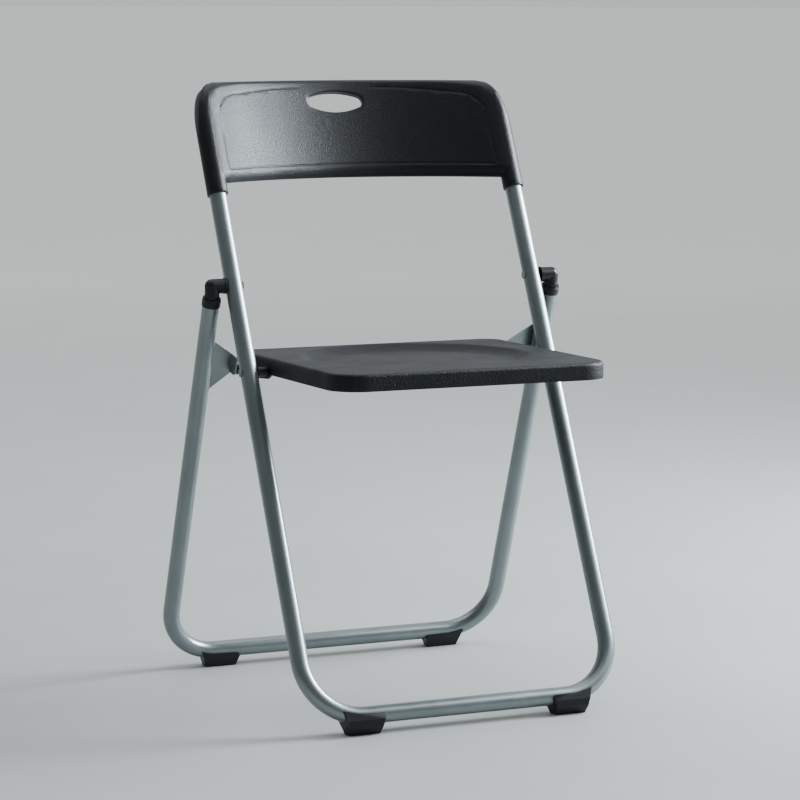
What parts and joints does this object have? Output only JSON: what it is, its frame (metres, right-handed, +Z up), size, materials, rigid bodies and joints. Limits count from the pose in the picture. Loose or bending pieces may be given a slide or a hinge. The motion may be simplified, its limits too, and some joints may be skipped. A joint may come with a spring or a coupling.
{
  "type": "folding chair",
  "caption": "Folding chair with crossed bent-tube frames, a moulded backrest with a hand hole and a moulded seat that folds up between the uprights.",
  "frame": {"origin": "on the floor, under the middle of the chair's width and depth", "axes": "+Z up, +X to the left of someone sitting in the chair, -Y the way the chair faces"},
  "size_m": [0.4988, 0.4759, 0.776],
  "materials": {
    "paint": "satin silver-grey paint",
    "plastic": "black moulded plastic, fine grain",
    "pad": "black soft plastic",
    "zinc": "zinc-plated steel",
    "dark_steel": "black-coated steel"
  },
  "bodies": {
    "front_frame": {"front_tube": "paint", "backrest": "plastic", "front_foot_left": "pad", "front_foot_right": "pad", "leg_pivot_rivets": "zinc", "seat_pivot_rivets": "zinc", "seat_pivot_spacers": "pad"},
    "rear_frame": {"rear_tube": "paint", "elbow_left": "pad", "elbow_right": "pad", "collar_left": "pad", "collar_right": "pad", "bracket_left": "paint", "bracket_right": "paint", "rear_foot_left": "pad", "rear_foot_right": "pad", "link_rivets": "zinc", "link_bushes": "pad"},
    "seat": {"seat_shell": "plastic", "rail_left": "dark_steel", "rail_right": "dark_steel", "rail_screws": "zinc"}
  },
  "joints": [
    {"name": "rear_leg_fold", "type": "hinge", "parent": "front_frame", "child": "rear_frame", "pos_m": [0, 0.04286, 0.52565], "axis": [-1, 0, 0], "range_deg": [0, 38]},
    {"name": "seat_fold", "type": "hinge", "parent": "front_frame", "child": "seat", "pos_m": [0, -0.00844, 0.42183], "axis": [-1, 0, 0], "range_deg": [0, 110.2]}
  ],
  "couplings": [
    {"joint": "seat_fold", "follows": "rear_leg_fold", "ratio": 2.9}
  ]
}
